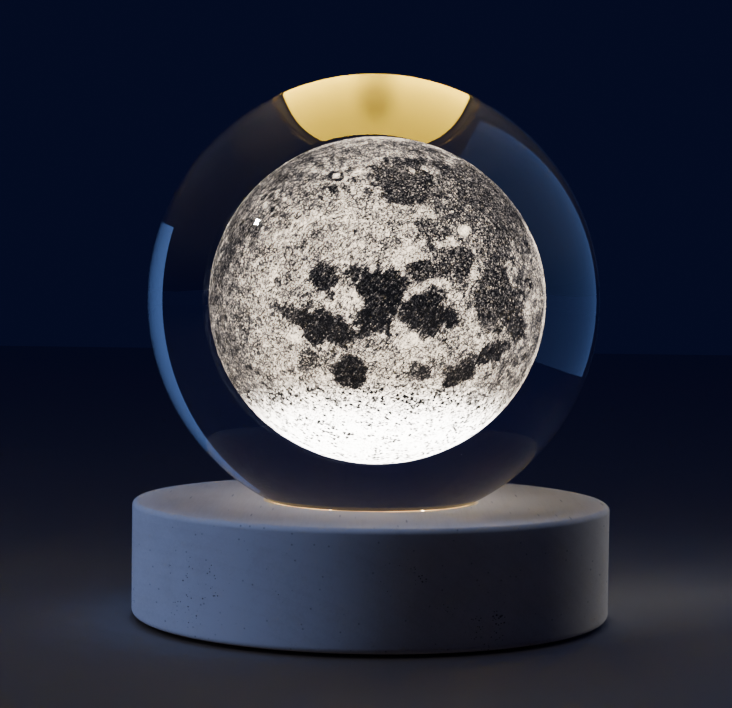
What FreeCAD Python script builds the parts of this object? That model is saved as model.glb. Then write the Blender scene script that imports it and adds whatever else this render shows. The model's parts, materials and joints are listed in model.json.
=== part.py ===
import FreeCAD, Part
import math
import os

from FreeCAD import Vector

# Moon lamp: a crystal ball with a moon engraved inside it, standing on a round wooden
# lamp base. Millimetres, +Z up, +Y to the back. The origin is on the table, under the
# middle of the base.

# --- driving dimensions -------------------------------------------------------------

# crystal ball
ball_diameter = 80.0
foot_cut_depth = 3.5
foot_bevel_height = 0.4
foot_bevel_inset = 0.35

# moon engraved in the ball, point by point, along level rings and meridians
moon_width = 39.6
moon_height = 38.4
moon_offset_x = 0.45
moon_rings = 16
moon_meridians = 32

# wooden body
base_diameter = 84.6
base_height = 20.0
edge_roundover = 1.0
roundover_cuts = 2
side_wall = 10.3
top_plate = 6.5

# seat for the ball, in the top of the wood
seat_depth = 1.0
seat_gap = 0.3
seat_edge_chamfer = 0.25
diffuser_thickness = 2.0
diffuser_clearance = 0.2
light_well_diameter = 31.0

# bottom cover and rubber feet
cover_thickness = 2.0
cover_ledge = 5.4
cover_clearance = 0.2
foot_count = 4
foot_inset = 3.2
foot_diameter = 10.0
foot_thickness = 1.5
foot_stand = 0.8
foot_clearance = 0.1

# screws: shank, head, and how deep they bite
screw_shank_diameter = 2.2
screw_hole_clearance = 0.15
screw_head_diameter = 4.4
screw_head_height = 1.4
screw_bite = 4.5
screw_first_angle = 30.0
screw_tip_cover = 0.5
cover_screw_count = 3

# reflector cup under the light well
cup_wall = 0.9
cup_clearance = 0.2
cup_to_control_gap = 0.6
cup_flange_thickness = 3.5
cup_mouth_below_diffuser = 0.2
cup_floor_opening_diameter = 24.4
cup_screw_count = 3
cup_screw_inset = 2.2

# light board with its ring of chips
board_thickness = 1.2
led_count = 6
led_ring_diameter = 16.0
led_length = 3.5
led_width = 2.8
led_height = 0.8

# control board at the back
control_width = 26.0
control_length = 13.2
control_wall_gap = 0.4
control_corner_radius = 1.0
control_pocket_side_gap = 0.6
control_screw_inset = 2.6
rear_wall = 4.7
rear_recess_depth = 2.3

# port for the supply plug
port_width = 8.94
port_height = 3.2
port_length = 7.3
port_shell_wall = 0.3
port_hole_clearance = 0.2
port_tongue_width = 6.7
port_tongue_thickness = 0.7
port_tongue_setback = 0.6
port_block_length = 2.2
plug_recess_width = 12.8
plug_recess_height = 7.0

# push button and the switch behind it
button_diameter = 5.0
button_hole_clearance = 0.3
button_travel = 0.5
button_flange_width = 0.6
button_flange_thickness = 0.8
button_stop_gap = 0.1
button_dome = 0.35
button_proud = 1.3
button_recess_diameter = 8.8
switch_axis_drop = 3.5
switch_below_axis = 2.6
switch_width = 6.4
switch_depth = 4.5
switch_front_gap = 2.6
plunger_diameter = 3.0
plunger_clearance = 0.3
plunger_grip = 2.0

# small parts on the control board
chip_length = 5.0
chip_width = 4.0
chip_height = 1.5
chip_from_port = 1.5
chip_from_front = 4.2
can_diameter = 4.0
can_height = 5.0
can_from_button = 1.9
can_from_front = 3.4
resistor_length = 2.0
resistor_width = 1.2
resistor_height = 0.6
resistor_count = 3
resistor_pitch = 2.4
resistor_from_switch = 0.5
resistor_from_front = 6.0

# flat ribbon lead from the control board to the light board
ribbon_width = 4.0
ribbon_thickness = 0.6
ribbon_bend_radius = 2.0
ribbon_from_front = 1.4
ribbon_span = 5.4
ribbon_sag = 3.5

# --- sizes that follow from them ----------------------------------------------------

ball_radius = ball_diameter / 2
base_radius = base_diameter / 2

wood_bottom = foot_stand
wood_top = wood_bottom + base_height
ceiling = wood_top - top_plate
cavity_radius = base_radius - side_wall

foot_z = wood_top - seat_depth
ball_centre_z = foot_z + ball_radius - foot_cut_depth
foot_edge_radius = math.sqrt(ball_radius ** 2 - (ball_centre_z - foot_z) ** 2)
seat_radius = math.sqrt((ball_radius + seat_gap) ** 2 - (ball_centre_z - wood_top) ** 2)
diffuser_radius = seat_radius - diffuser_clearance
diffuser_bottom = foot_z - diffuser_thickness
light_well_radius = light_well_diameter / 2

cover_recess_radius = cavity_radius + cover_ledge
cover_radius = cover_recess_radius - cover_clearance
cover_top = wood_bottom + cover_thickness
cover_screw_circle = cavity_radius + cover_ledge / 2
foot_circle_radius = cover_radius - foot_inset - foot_diameter / 2

screw_radius = screw_shank_diameter / 2
screw_head_radius = screw_head_diameter / 2
screw_hole_radius = screw_radius + screw_hole_clearance

pocket_back = base_radius - rear_wall
recess_floor = base_radius - rear_recess_depth
control_back = pocket_back - control_wall_gap
control_front = control_back - control_length
control_bottom = ceiling - board_thickness
pocket_half_width = control_width / 2 + control_pocket_side_gap

cup_collar_radius = light_well_radius - cup_clearance
cup_flange_radius = control_front - cup_to_control_gap
cup_floor = ceiling - cup_flange_thickness
cup_screw_circle = cup_flange_radius - cup_screw_inset
cup_screw_grip = board_thickness + cup_flange_thickness
cup_screw_bite = diffuser_bottom - ceiling - screw_tip_cover
led_board_bottom = cup_floor - board_thickness

port_offset_x = -control_width / 4
button_offset_x = control_width / 4
port_centre_z = control_bottom - port_height / 2
port_back = recess_floor - port_length
button_z = control_bottom - switch_axis_drop
button_radius = button_diameter / 2
button_flange_front = pocket_back - button_stop_gap
button_flange_back = button_flange_front - button_flange_thickness
button_face = recess_floor + button_proud
switch_front = button_flange_back - switch_front_gap
switch_back = switch_front - switch_depth
plunger_radius = plunger_diameter / 2
plunger_inner_end = switch_front - plunger_grip

UP = Vector(0, 0, 1)
BACK = Vector(0, 1, 0)
ORIGIN = Vector(0, 0, 0)


# --- helpers ------------------------------------------------------------------------

def on_circle(radius, angle_deg, z=0.0):
    """Point on a circle about the Z axis."""
    angle = math.radians(angle_deg)
    return Vector(radius * math.cos(angle), radius * math.sin(angle), z)


def even_angles(count, first=0.0):
    """Angles in degrees, evenly spaced round the circle."""
    return [first + 360.0 * i / count for i in range(count)]


def turned(outline):
    """Solid of revolution about Z. The outline holds (radius, height) corners."""
    corners = [Vector(r, 0, z) for r, z in outline]
    wire = Part.makePolygon(corners + corners[:1])
    return Part.Face(wire).revolve(ORIGIN, UP, 360)


def arc_points(centre_r, centre_z, width, height, from_deg, to_deg, steps):
    """Corners along an arc, as (radius, height)."""
    angles = [math.radians(from_deg + (to_deg - from_deg) * i / steps) for i in range(steps + 1)]
    return [(centre_r + width * math.cos(a), centre_z + height * math.sin(a)) for a in angles]


def disc(radius, bottom, height):
    """Upright cylinder on the Z axis."""
    return Part.makeCylinder(radius, height, Vector(0, 0, bottom))


def block(x, y, z, dx, dy, dz):
    """Box centred on x, from y on and from z up."""
    return Part.makeBox(dx, dy, dz, Vector(x - dx / 2, y, z))


def slot_along_y(x, z, width, height, y_from, y_to):
    """Round-ended bar along Y, centred on x and z."""
    radius = height / 2
    reach = width / 2 - radius
    left = Vector(x - reach, y_from, z)
    right = Vector(x + reach, y_from, z)
    top = Part.LineSegment(left + UP * radius, right + UP * radius)
    bottom = Part.LineSegment(right - UP * radius, left - UP * radius)
    right_end = Part.Arc(right + UP * radius, right + Vector(radius, 0, 0), right - UP * radius)
    left_end = Part.Arc(left - UP * radius, left - Vector(radius, 0, 0), left + UP * radius)
    wire = Part.Wire([c.toShape() for c in (top, right_end, bottom, left_end)])
    return Part.Face(wire).extrude(BACK * (y_to - y_from))


def rod_along_y(x, z, radius, y_from, y_to):
    """Cylinder along Y."""
    return Part.makeCylinder(radius, y_to - y_from, Vector(x, y_from, z), BACK)


def screw(at, length, countersunk):
    """Wood screw pointing up. at is the middle of the seat that a round head bears on, or
    of the face that a countersunk head is flush with; length is from there to the tip."""
    if countersunk:
        head = [(0, 0), (screw_head_radius, 0), (screw_radius, screw_head_height)]
    else:
        head = [(0, -screw_head_height), (screw_head_radius, -screw_head_height),
                (screw_head_radius, 0), (screw_radius, 0)]
    body = turned(head + [(screw_radius, length), (0, length)])
    body.translate(at)
    return body


# --- places that several pieces share -----------------------------------------------

cover_screw_places = [on_circle(cover_screw_circle, a, wood_bottom)
                      for a in even_angles(cover_screw_count, screw_first_angle)]
foot_places = [on_circle(foot_circle_radius, a)
               for a in even_angles(foot_count, 180.0 / foot_count)]
cup_screw_places = [on_circle(cup_screw_circle, a, led_board_bottom)
                    for a in even_angles(cup_screw_count, screw_first_angle)]
control_screw_places = [Vector(side * (control_width / 2 - control_screw_inset),
                               control_front + control_screw_inset, control_bottom)
                        for side in (-1, 1)]
cover_screw_length = cover_thickness + screw_bite
cup_screw_length = cup_screw_grip + cup_screw_bite
control_screw_length = board_thickness + screw_bite


# --- the ball -----------------------------------------------------------------------

def moon_form():
    """The moon's outline: flat facets between the rings and meridians of the engraving."""
    levels = arc_points(0, ball_centre_z, moon_width / 2, moon_height / 2, -90, 90, moon_rings)
    turns = even_angles(moon_meridians)
    middle = Vector(moon_offset_x, 0, 0)
    south = Vector(moon_offset_x, 0, levels[0][1])
    north = Vector(moon_offset_x, 0, levels[-1][1])
    rings = [[middle + on_circle(r, a, z) for a in turns] for r, z in levels[1:-1]]

    def facet(*corners):
        return Part.Face(Part.makePolygon(list(corners) + [corners[0]]))

    facets = []
    for i in range(moon_meridians):
        j = (i + 1) % moon_meridians
        facets.append(facet(south, rings[0][j], rings[0][i]))
        facets.append(facet(north, rings[-1][i], rings[-1][j]))
        for lower, upper in zip(rings, rings[1:]):
            facets.append(facet(lower[i], lower[j], upper[j], upper[i]))
    return Part.makeSolid(Part.makeShell(facets))


def crystal_ball():
    """Ball ground flat and bevelled at the foot, with the room that the engraving takes."""
    bevel_z = foot_z + foot_bevel_height
    bevel_radius = math.sqrt(ball_radius ** 2 - (ball_centre_z - bevel_z) ** 2)
    bottom = Vector(0, 0, foot_z)
    flat_edge = Vector(foot_edge_radius - foot_bevel_inset, 0, foot_z)
    bevel_top = Vector(bevel_radius, 0, bevel_z)
    equator = Vector(ball_radius, 0, ball_centre_z)
    top = Vector(0, 0, ball_centre_z + ball_radius)
    edges = [Part.LineSegment(bottom, flat_edge),
             Part.LineSegment(flat_edge, bevel_top),
             Part.Arc(bevel_top, equator, top),
             Part.LineSegment(top, bottom)]
    wire = Part.Wire([e.toShape() for e in edges])
    ball = Part.Face(wire).revolve(ORIGIN, UP, 360)
    return ball.cut(moon_form())


def engraved_moon():
    """Ball of fine laser cracks in the middle of the crystal."""
    return moon_form()


# --- the wooden body ----------------------------------------------------------------

def wooden_body():
    """Turned disc with softened edges, hollowed from below, with the ball's seat and the
    light well through its top plate, and the port and button openings at the back."""
    shoulder = base_radius - edge_roundover
    lower = arc_points(shoulder, wood_bottom + edge_roundover, edge_roundover, edge_roundover,
                       -90, 0, roundover_cuts)
    upper = arc_points(shoulder, wood_top - edge_roundover, edge_roundover, edge_roundover,
                       0, 90, roundover_cuts)
    body = turned([(0, wood_bottom)] + lower + upper + [(0, wood_top)])

    hollow = disc(cavity_radius, wood_bottom, ceiling - wood_bottom)
    ledge = disc(cover_recess_radius, wood_bottom, cover_thickness)
    well = disc(light_well_radius, ceiling, top_plate)
    seat = turned([(0, diffuser_bottom), (seat_radius, diffuser_bottom),
                   (seat_radius, wood_top - seat_edge_chamfer),
                   (seat_radius + seat_edge_chamfer, wood_top), (0, wood_top)])
    pocket = block(0, 0, cover_top, pocket_half_width * 2, pocket_back, ceiling - cover_top)
    for cutter in (hollow, ledge, well, seat, pocket):
        body = body.cut(cutter)

    outside = base_radius + edge_roundover
    port_hole = slot_along_y(port_offset_x, port_centre_z,
                             port_width + 2 * port_hole_clearance,
                             port_height + 2 * port_hole_clearance, 0, outside)
    plug_recess = slot_along_y(port_offset_x, port_centre_z, plug_recess_width,
                               plug_recess_height, recess_floor, outside)
    button_hole = rod_along_y(button_offset_x, button_z,
                              button_radius + button_hole_clearance, 0, outside)
    button_recess = rod_along_y(button_offset_x, button_z, button_recess_diameter / 2,
                                recess_floor, outside)
    hollow_back = block(0, pocket_back - rear_wall, cover_top, pocket_half_width * 2,
                        outside, ceiling - cover_top)
    for cutter in (port_hole, plug_recess, button_hole, button_recess):
        body = body.cut(cutter.common(hollow_back))

    for places, length in ((cover_screw_places, cover_screw_length),
                           (cup_screw_places, cup_screw_length),
                           (control_screw_places, control_screw_length)):
        for at in places:
            body = body.cut(Part.makeCylinder(screw_radius, length, at))
    return body


# --- light under the ball -----------------------------------------------------------

def diffuser_disc():
    """Milky disc in the seat, which the ball's foot stands on."""
    return disc(diffuser_radius, diffuser_bottom, diffuser_thickness)


def with_screw_holes(shape, places, height):
    """The shape with clearance holes up through it."""
    for at in places:
        shape = shape.cut(Part.makeCylinder(screw_hole_radius, height, at))
    return shape


def reflector_cup():
    """White moulded cup: a collar up the light well, a flared bore and a flange that is
    screwed up under the top plate together with the light board."""
    mouth = diffuser_bottom - cup_mouth_below_diffuser
    cup = turned([(cup_collar_radius - cup_wall, mouth), (cup_collar_radius, mouth),
                  (cup_collar_radius, ceiling), (cup_flange_radius, ceiling),
                  (cup_flange_radius, cup_floor), (cup_floor_opening_diameter / 2, cup_floor)])
    return with_screw_holes(cup, cup_screw_places, cup_screw_grip)


def led_board():
    """Round light board under the cup."""
    board = disc(cup_flange_radius, led_board_bottom, board_thickness)
    return with_screw_holes(board, cup_screw_places, board_thickness)


def led_chips():
    """Ring of light chips on the board."""
    chips = []
    for angle in even_angles(led_count):
        chip = Part.makeBox(led_length, led_width, led_height,
                            Vector(led_ring_diameter / 2 - led_length / 2, -led_width / 2, cup_floor))
        chip.rotate(ORIGIN, UP, angle)
        chips.append(chip)
    return Part.makeCompound(chips)


def cup_screws():
    """Screws that hold the light board and the reflector cup under the top plate."""
    return Part.makeCompound([screw(at, cup_screw_length, False) for at in cup_screw_places])


# --- control board and what is on it --------------------------------------------------

def control_board():
    """Board screwed up under the top plate, its parts hanging below it."""
    board = block(0, control_front, control_bottom, control_width, control_length, board_thickness)
    upright = [e for e in board.Edges if abs(e.tangentAt(e.FirstParameter).z) > 0.9]
    board = board.makeFillet(control_corner_radius, upright)
    return with_screw_holes(board, control_screw_places, board_thickness)


def control_screws():
    """Screws that hold the control board."""
    return Part.makeCompound([screw(at, control_screw_length, False)
                              for at in control_screw_places])


def usb_shell():
    """Steel shell of the supply port, open to the back."""
    shell = slot_along_y(port_offset_x, port_centre_z, port_width, port_height,
                         port_back, recess_floor)
    inside = slot_along_y(port_offset_x, port_centre_z, port_width - 2 * port_shell_wall,
                          port_height - 2 * port_shell_wall,
                          port_back + port_shell_wall, recess_floor)
    return shell.cut(inside)


def usb_tongue():
    """Contact tongue in the port, on its moulded block."""
    inner_back = port_back + port_shell_wall
    root = slot_along_y(port_offset_x, port_centre_z, port_width - 2 * port_shell_wall,
                        port_height - 2 * port_shell_wall,
                        inner_back, inner_back + port_block_length)
    reach = recess_floor - port_tongue_setback - inner_back
    tongue = block(port_offset_x, inner_back, port_centre_z - port_tongue_thickness / 2,
                   port_tongue_width, reach, port_tongue_thickness)
    return root.fuse(tongue).removeSplitter()


def switch_body():
    """Housing of the push switch, with the bore that its plunger slides in."""
    height = switch_axis_drop + switch_below_axis
    body = block(button_offset_x, switch_back, control_bottom - height,
                 switch_width, switch_depth, height)
    bore_end = plunger_inner_end - button_travel - plunger_clearance
    return body.cut(rod_along_y(button_offset_x, button_z, plunger_radius + plunger_clearance,
                                bore_end, switch_front))


def driver_chip():
    """Chip that drives the light."""
    return block(port_offset_x + chip_from_port, control_front + chip_from_front,
                 control_bottom - chip_height, chip_length, chip_width, chip_height)


def capacitor():
    """Round capacitor beside it."""
    at = Vector(button_offset_x - can_from_button, control_front + can_from_front,
                control_bottom - can_height)
    return Part.makeCylinder(can_diameter / 2, can_height, at)


def resistors():
    """Row of small resistors."""
    x = button_offset_x + switch_width / 2 + resistor_from_switch + resistor_length / 2
    row = []
    for i in range(resistor_count):
        y = control_front + resistor_from_front + i * resistor_pitch
        row.append(block(x, y, control_bottom - resistor_height,
                         resistor_length, resistor_width, resistor_height))
    return Part.makeCompound(row)


def ribbon_lead():
    """Flat ribbon lead: down from the control board, round two quarter bends under both
    boards and up to the light board. Its outline is drawn from the side."""
    y_back = control_front + ribbon_from_front
    y_front = y_back - ribbon_span
    low = led_board_bottom - ribbon_sag
    half = ribbon_thickness / 2

    def edge_line(side):
        """One face of the ribbon; side is 1 for the outer face and -1 for the inner one."""
        r = ribbon_bend_radius + side * half
        slant = r * math.sqrt(0.5)
        centre_z = low + ribbon_bend_radius
        back = Vector(0, y_back - ribbon_bend_radius, centre_z)
        front = Vector(0, y_front + ribbon_bend_radius, centre_z)
        a = Vector(0, back.y + r, control_bottom)
        b = Vector(0, back.y + r, centre_z)
        b_mid = back + Vector(0, slant, -slant)
        c = Vector(0, back.y, centre_z - r)
        d = Vector(0, front.y, centre_z - r)
        d_mid = front + Vector(0, -slant, -slant)
        e = Vector(0, front.y - r, centre_z)
        f = Vector(0, front.y - r, led_board_bottom)
        return [Part.LineSegment(a, b), Part.Arc(b, b_mid, c), Part.LineSegment(c, d),
                Part.Arc(d, d_mid, e), Part.LineSegment(e, f)], a, f

    outer, outer_start, outer_end = edge_line(1)
    inner, inner_start, inner_end = edge_line(-1)
    ends = [Part.LineSegment(outer_end, inner_end), Part.LineSegment(inner_start, outer_start)]
    edges = Part.sortEdges([c.toShape() for c in outer + inner + ends])[0]
    ribbon = Part.Face(Part.Wire(edges)).extrude(Vector(ribbon_width, 0, 0))
    ribbon.translate(Vector(-ribbon_width / 2, 0, 0))
    return ribbon


# --- push button ----------------------------------------------------------------------

def button_cap():
    """Round cap with a domed face and a flange that stops it behind the wood."""
    flange_radius = button_radius + button_flange_width
    dome_radius = (button_radius ** 2 + button_dome ** 2) / (2 * button_dome)
    half_turn = math.asin(button_radius / dome_radius) / 2
    low = Vector(0, 0, button_flange_back)
    rim = Vector(button_radius, 0, button_face - button_dome)
    half = Vector(dome_radius * math.sin(half_turn), 0,
                  button_face - dome_radius * (1 - math.cos(half_turn)))
    corners = [low, Vector(flange_radius, 0, button_flange_back),
               Vector(flange_radius, 0, button_flange_front),
               Vector(button_radius, 0, button_flange_front), rim]
    edges = [Part.LineSegment(a, b).toShape() for a, b in zip(corners, corners[1:])]
    crown = Vector(0, 0, button_face)
    edges.append(Part.Arc(rim, half, crown).toShape())
    edges.append(Part.LineSegment(crown, low).toShape())
    cap = Part.Face(Part.Wire(edges)).revolve(ORIGIN, UP, 360)
    cap.rotate(ORIGIN, Vector(1, 0, 0), -90)
    cap.translate(Vector(button_offset_x, 0, button_z))
    return cap


def switch_plunger():
    """Plunger of the switch, which the cap bears on."""
    return rod_along_y(button_offset_x, button_z, plunger_radius,
                       plunger_inner_end, button_flange_back)


# --- bottom -----------------------------------------------------------------------------

def bottom_cover():
    """Round cover let into the underside, with countersunk screw holes and shallow
    pockets for the feet."""
    cover = disc(cover_radius, wood_bottom, cover_thickness)
    pocket_depth = foot_thickness - foot_stand
    for at in foot_places:
        at_face = Vector(at.x, at.y, wood_bottom)
        cover = cover.cut(Part.makeCylinder(foot_diameter / 2 + foot_clearance,
                                            pocket_depth, at_face))
    for at in cover_screw_places:
        sink = Part.makeCone(screw_head_radius, screw_radius, screw_head_height, at)
        hole = Part.makeCylinder(screw_radius, cover_thickness, at)
        cover = cover.cut(sink).cut(hole)
    return cover


def cover_screws():
    """Countersunk screws through the cover into the ledge."""
    return Part.makeCompound([screw(at, cover_screw_length, True) for at in cover_screw_places])


def rubber_feet():
    """Round rubber pads, let into the cover."""
    return Part.makeCompound([Part.makeCylinder(foot_diameter / 2, foot_thickness, at)
                              for at in foot_places])


# --- write every piece ------------------------------------------------------------------

PIECES = {
    "wooden_body": wooden_body,
    "diffuser_disc": diffuser_disc,
    "reflector_cup": reflector_cup,
    "cup_screws": cup_screws,
    "led_board": led_board,
    "led_chips": led_chips,
    "control_board": control_board,
    "control_screws": control_screws,
    "usb_shell": usb_shell,
    "usb_tongue": usb_tongue,
    "switch_body": switch_body,
    "driver_chip": driver_chip,
    "capacitor": capacitor,
    "resistors": resistors,
    "ribbon_lead": ribbon_lead,
    "bottom_cover": bottom_cover,
    "cover_screws": cover_screws,
    "rubber_feet": rubber_feet,
    "button_cap": button_cap,
    "switch_plunger": switch_plunger,
    "crystal_ball": crystal_ball,
    "engraved_moon": engraved_moon,
}


def main():
    os.makedirs("parts", exist_ok=True)
    for name, make in PIECES.items():
        shape = make()
        shape.exportStep(os.path.join("parts", name + ".step"))
        box = shape.BoundBox
        print(f"{name:16s} solids {len(shape.Solids)} valid {shape.isValid()}"
              f" volume {shape.Volume:10.2f}"
              f" x {box.XMin:7.2f}..{box.XMax:6.2f} y {box.YMin:7.2f}..{box.YMax:6.2f}"
              f" z {box.ZMin:6.2f}..{box.ZMax:6.2f}")


main()
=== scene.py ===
import json
import math
from collections import namedtuple
from functools import partialmethod

import bpy
import numpy as np
from mathutils import Matrix, Vector

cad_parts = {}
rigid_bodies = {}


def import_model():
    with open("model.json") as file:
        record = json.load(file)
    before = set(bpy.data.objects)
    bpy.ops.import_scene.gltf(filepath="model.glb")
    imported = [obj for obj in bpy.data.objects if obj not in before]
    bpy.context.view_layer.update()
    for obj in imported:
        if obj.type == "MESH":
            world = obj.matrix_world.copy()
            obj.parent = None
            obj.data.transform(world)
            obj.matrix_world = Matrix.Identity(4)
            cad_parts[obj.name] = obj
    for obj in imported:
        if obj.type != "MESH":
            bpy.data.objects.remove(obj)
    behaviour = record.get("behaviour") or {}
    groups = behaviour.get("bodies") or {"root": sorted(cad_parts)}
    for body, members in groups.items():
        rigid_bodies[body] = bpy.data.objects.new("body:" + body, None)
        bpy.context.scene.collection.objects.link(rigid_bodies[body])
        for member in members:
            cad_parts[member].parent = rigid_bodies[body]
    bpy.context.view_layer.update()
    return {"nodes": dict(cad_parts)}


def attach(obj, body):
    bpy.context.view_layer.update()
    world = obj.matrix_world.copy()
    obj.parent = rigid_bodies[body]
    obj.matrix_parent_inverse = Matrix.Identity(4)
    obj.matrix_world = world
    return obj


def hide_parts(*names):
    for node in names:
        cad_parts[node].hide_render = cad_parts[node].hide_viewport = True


# Moon lamp: a lit crystal ball with a moon engraved inside it, in a shallow seat on a
# turned wooden base. +Z up, +Y to the back. Shapes and lights are given in millimetres
# and made metres by MM; shaders work in metres.

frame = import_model()

MM = 0.001

# --- sizes shared with the solids ---

BALL_RADIUS = 40.0
BALL_CENTRE_Z = 56.3
FOOT_Z = 19.8
FOOT_FLAT_RADIUS = 16.01
FOOT_BEVEL_RADIUS = 17.23
FOOT_BEVEL_Z = 20.2

MOON_HALF_WIDTH = 19.8
MOON_HALF_HEIGHT = 19.2
MOON_OFFSET_X = 0.45

WOOD_RADIUS = 42.3
WOOD_BOTTOM = 0.8
WOOD_TOP = 20.8
WOOD_ROUNDOVER = 1.0
SEAT_RADIUS = 19.07
SEAT_CHAMFER = 0.25
SEAT_FLOOR = 17.8
WELL_RADIUS = 15.5
CEILING = 14.3
CAVITY_RADIUS = 32.0
COVER_RECESS_RADIUS = 37.4
COVER_TOP = 2.8

POCKET_HALF_WIDTH = 13.6
POCKET_FRONT = 20.0
POCKET_BACK = 37.6
WALL_INSIDE = 34.0
RECESS_FLOOR = 40.0
PORT_X = -6.5
PORT_Z = 11.5
PORT_HOLE_WIDTH = 9.34
PORT_HOLE_HEIGHT = 3.6
PLUG_RECESS_WIDTH = 12.8
PLUG_RECESS_HEIGHT = 7.0
BUTTON_X = 6.5
BUTTON_Z = 9.6
BUTTON_HOLE_WIDTH = 5.6
BUTTON_RECESS_WIDTH = 8.8
BUTTON_RADIUS = 2.5
BUTTON_FACE = 41.3
BUTTON_DOME = 0.35
BUTTON_FLANGE_RADIUS = 3.1
BUTTON_FLANGE_FRONT = 37.5
BUTTON_FLANGE_BACK = 36.7

PAD_CIRCLE_RADIUS = 29.0
PAD_RADIUS = 5.0
PAD_THICKNESS = 1.5
PAD_COUNT = 4
PAD_FIRST_ANGLE = 45.0

SCREW_CIRCLE_RADIUS = 34.7
SCREW_HEAD_RADIUS = 2.2
SCREW_HEAD_HEIGHT = 1.4
SCREW_SHANK_RADIUS = 1.1
SCREW_LENGTH = 6.5
SCREW_COUNT = 3
SCREW_FIRST_ANGLE = 30.0

# --- camera ---

PHOTO_WIDTH_PX = 732
FOCAL_PX = 1965.0
SENSOR_MM = 36.0
CAMERA_DISTANCE = 350.0
CAMERA_DOWN_DEG = 2.04
CAMERA_ROLL_DEG = 0.75
AIM_X = -1.22
AIM_Z = 46.77


def camera_axes():
    """Forward, right and up of the camera: it looks back along +Y, tipped down, and is
    rolled about its own forward axis."""
    down = math.radians(CAMERA_DOWN_DEG)
    roll = math.radians(CAMERA_ROLL_DEG)
    forward = Vector((0, math.cos(down), -math.sin(down)))
    level = forward.cross(Vector((0, 0, 1))).normalized()
    upright = level.cross(forward)
    right = level * math.cos(roll) + upright * math.sin(roll)
    up = upright * math.cos(roll) - level * math.sin(roll)
    return forward, right, up


def camera_eye():
    """Where the camera stands, in millimetres."""
    forward, _, _ = camera_axes()
    return Vector((AIM_X, 0, AIM_Z)) - forward * CAMERA_DISTANCE


def place_camera():
    """Camera on the photograph's line of sight, aimed at a point on the lamp's middle."""
    forward, right, up = camera_axes()
    eye = camera_eye()
    lens = bpy.data.cameras.new("photo_camera")
    lens.sensor_width = SENSOR_MM
    lens.lens = SENSOR_MM * FOCAL_PX / PHOTO_WIDTH_PX
    lens.clip_start = 0.01
    camera = bpy.data.objects.new("photo_camera", lens)
    placed = Matrix((right, up, -forward)).transposed().to_4x4()
    placed.translation = eye * MM
    camera.matrix_world = placed
    bpy.context.scene.collection.objects.link(camera)
    bpy.context.scene.camera = camera


# --- making surfaces ---

def make_piece(name, points, faces, crease_deg=None):
    """Object at the origin from points in millimetres. Edges sharper than the crease angle
    stay sharp."""
    mesh = bpy.data.meshes.new(name)
    mesh.from_pydata((np.asarray(points) * MM).tolist(), [], faces)
    mesh.shade_smooth()
    if crease_deg is not None:
        mesh.set_sharp_from_angle(angle=math.radians(crease_deg))
    mesh.update()
    piece = bpy.data.objects.new(name, mesh)
    bpy.context.scene.collection.objects.link(piece)
    return piece


def grid_faces(index, closed):
    """Faces of a grid of point indices: corners (i, j), (i, j+1), (i+1, j+1), (i+1, j).
    A row that is one shared point gives triangles."""
    if closed:
        index = np.concatenate([index, index[:, :1]], axis=1)
    corners = np.stack([index[:-1, :-1], index[:-1, 1:], index[1:, 1:], index[1:, :-1]], -1)
    corners = corners.reshape(-1, 4)
    low_pole = corners[:, 0] == corners[:, 1]
    high_pole = corners[:, 2] == corners[:, 3]
    whole = corners[~(low_pole | high_pole)]
    return (whole.tolist() + corners[low_pole][:, [0, 2, 3]].tolist()
            + corners[high_pole][:, [0, 1, 2]].tolist())


def turned_points(radii, heights, columns):
    """Surface of revolution about Z: point (i, j) = (r_i cos a_j, r_i sin a_j, z_i). A
    radius of zero is one shared point on the axis."""
    turn = 2 * np.pi * np.arange(columns) / columns
    points = []
    index = np.zeros((len(radii), columns), int)
    count = 0
    for row, (r, z) in enumerate(zip(radii, heights)):
        width = 1 if r == 0 else columns
        a = turn[:width]
        points.append(np.stack([r * np.cos(a), r * np.sin(a), np.full(width, z)], -1))
        index[row] = count + np.arange(columns) % width
        count += width
    return np.concatenate(points), index


def turned_piece(name, outline, columns, closed_outline=False, crease_deg=None):
    """Turned piece from an outline of (radius, height) corners that runs outwards along the
    bottom, up the outside and back in; a closed outline joins its last corner to its
    first."""
    points, index = turned_points(*outline.T, columns)
    if closed_outline:
        index = np.concatenate([index, index[:1]], axis=0)
    return make_piece(name, points, grid_faces(index, True), crease_deg)


def arc_outline(centre_r, centre_z, radius, from_deg, to_deg, steps):
    """Corners along an arc: (c_r + R cos t, c_z + R sin t), t from one angle to the other."""
    t = np.radians(np.linspace(from_deg, to_deg, steps + 1))
    return np.stack([centre_r + radius * np.cos(t), centre_z + radius * np.sin(t)], -1)


def straight(start, end, steps):
    """Corners along a straight line with both ends."""
    return np.linspace(np.asarray(start, float), np.asarray(end, float), steps + 1)


def joined(*parts):
    """Outline parts one after another, without repeated corners."""
    run = np.concatenate([np.atleast_2d(p) for p in parts])
    keep = np.ones(len(run), bool)
    keep[1:] = np.abs(np.diff(run, axis=0)).max(axis=1) > 1e-7
    return run[keep]


def round_place(radius, degrees, height):
    """Point on a circle about Z: (r cos a, r sin a, z)."""
    angle = math.radians(degrees)
    return np.array([radius * math.cos(angle), radius * math.sin(angle), height])


def grid_copies(name, copies, rows, crease_deg):
    """One piece of several copies of the same closed grid of points."""
    faces = []
    for k, copy in enumerate(copies):
        faces += grid_faces(rows + k * len(copy), True)
    return make_piece(name, np.concatenate(copies), faces, crease_deg)


def give(piece, material, body):
    """Puts a material on a piece and lets it ride on a body."""
    piece.data.materials.clear()
    piece.data.materials.append(material)
    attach(piece, body)
    return piece


# --- smooth random fields ---

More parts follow.
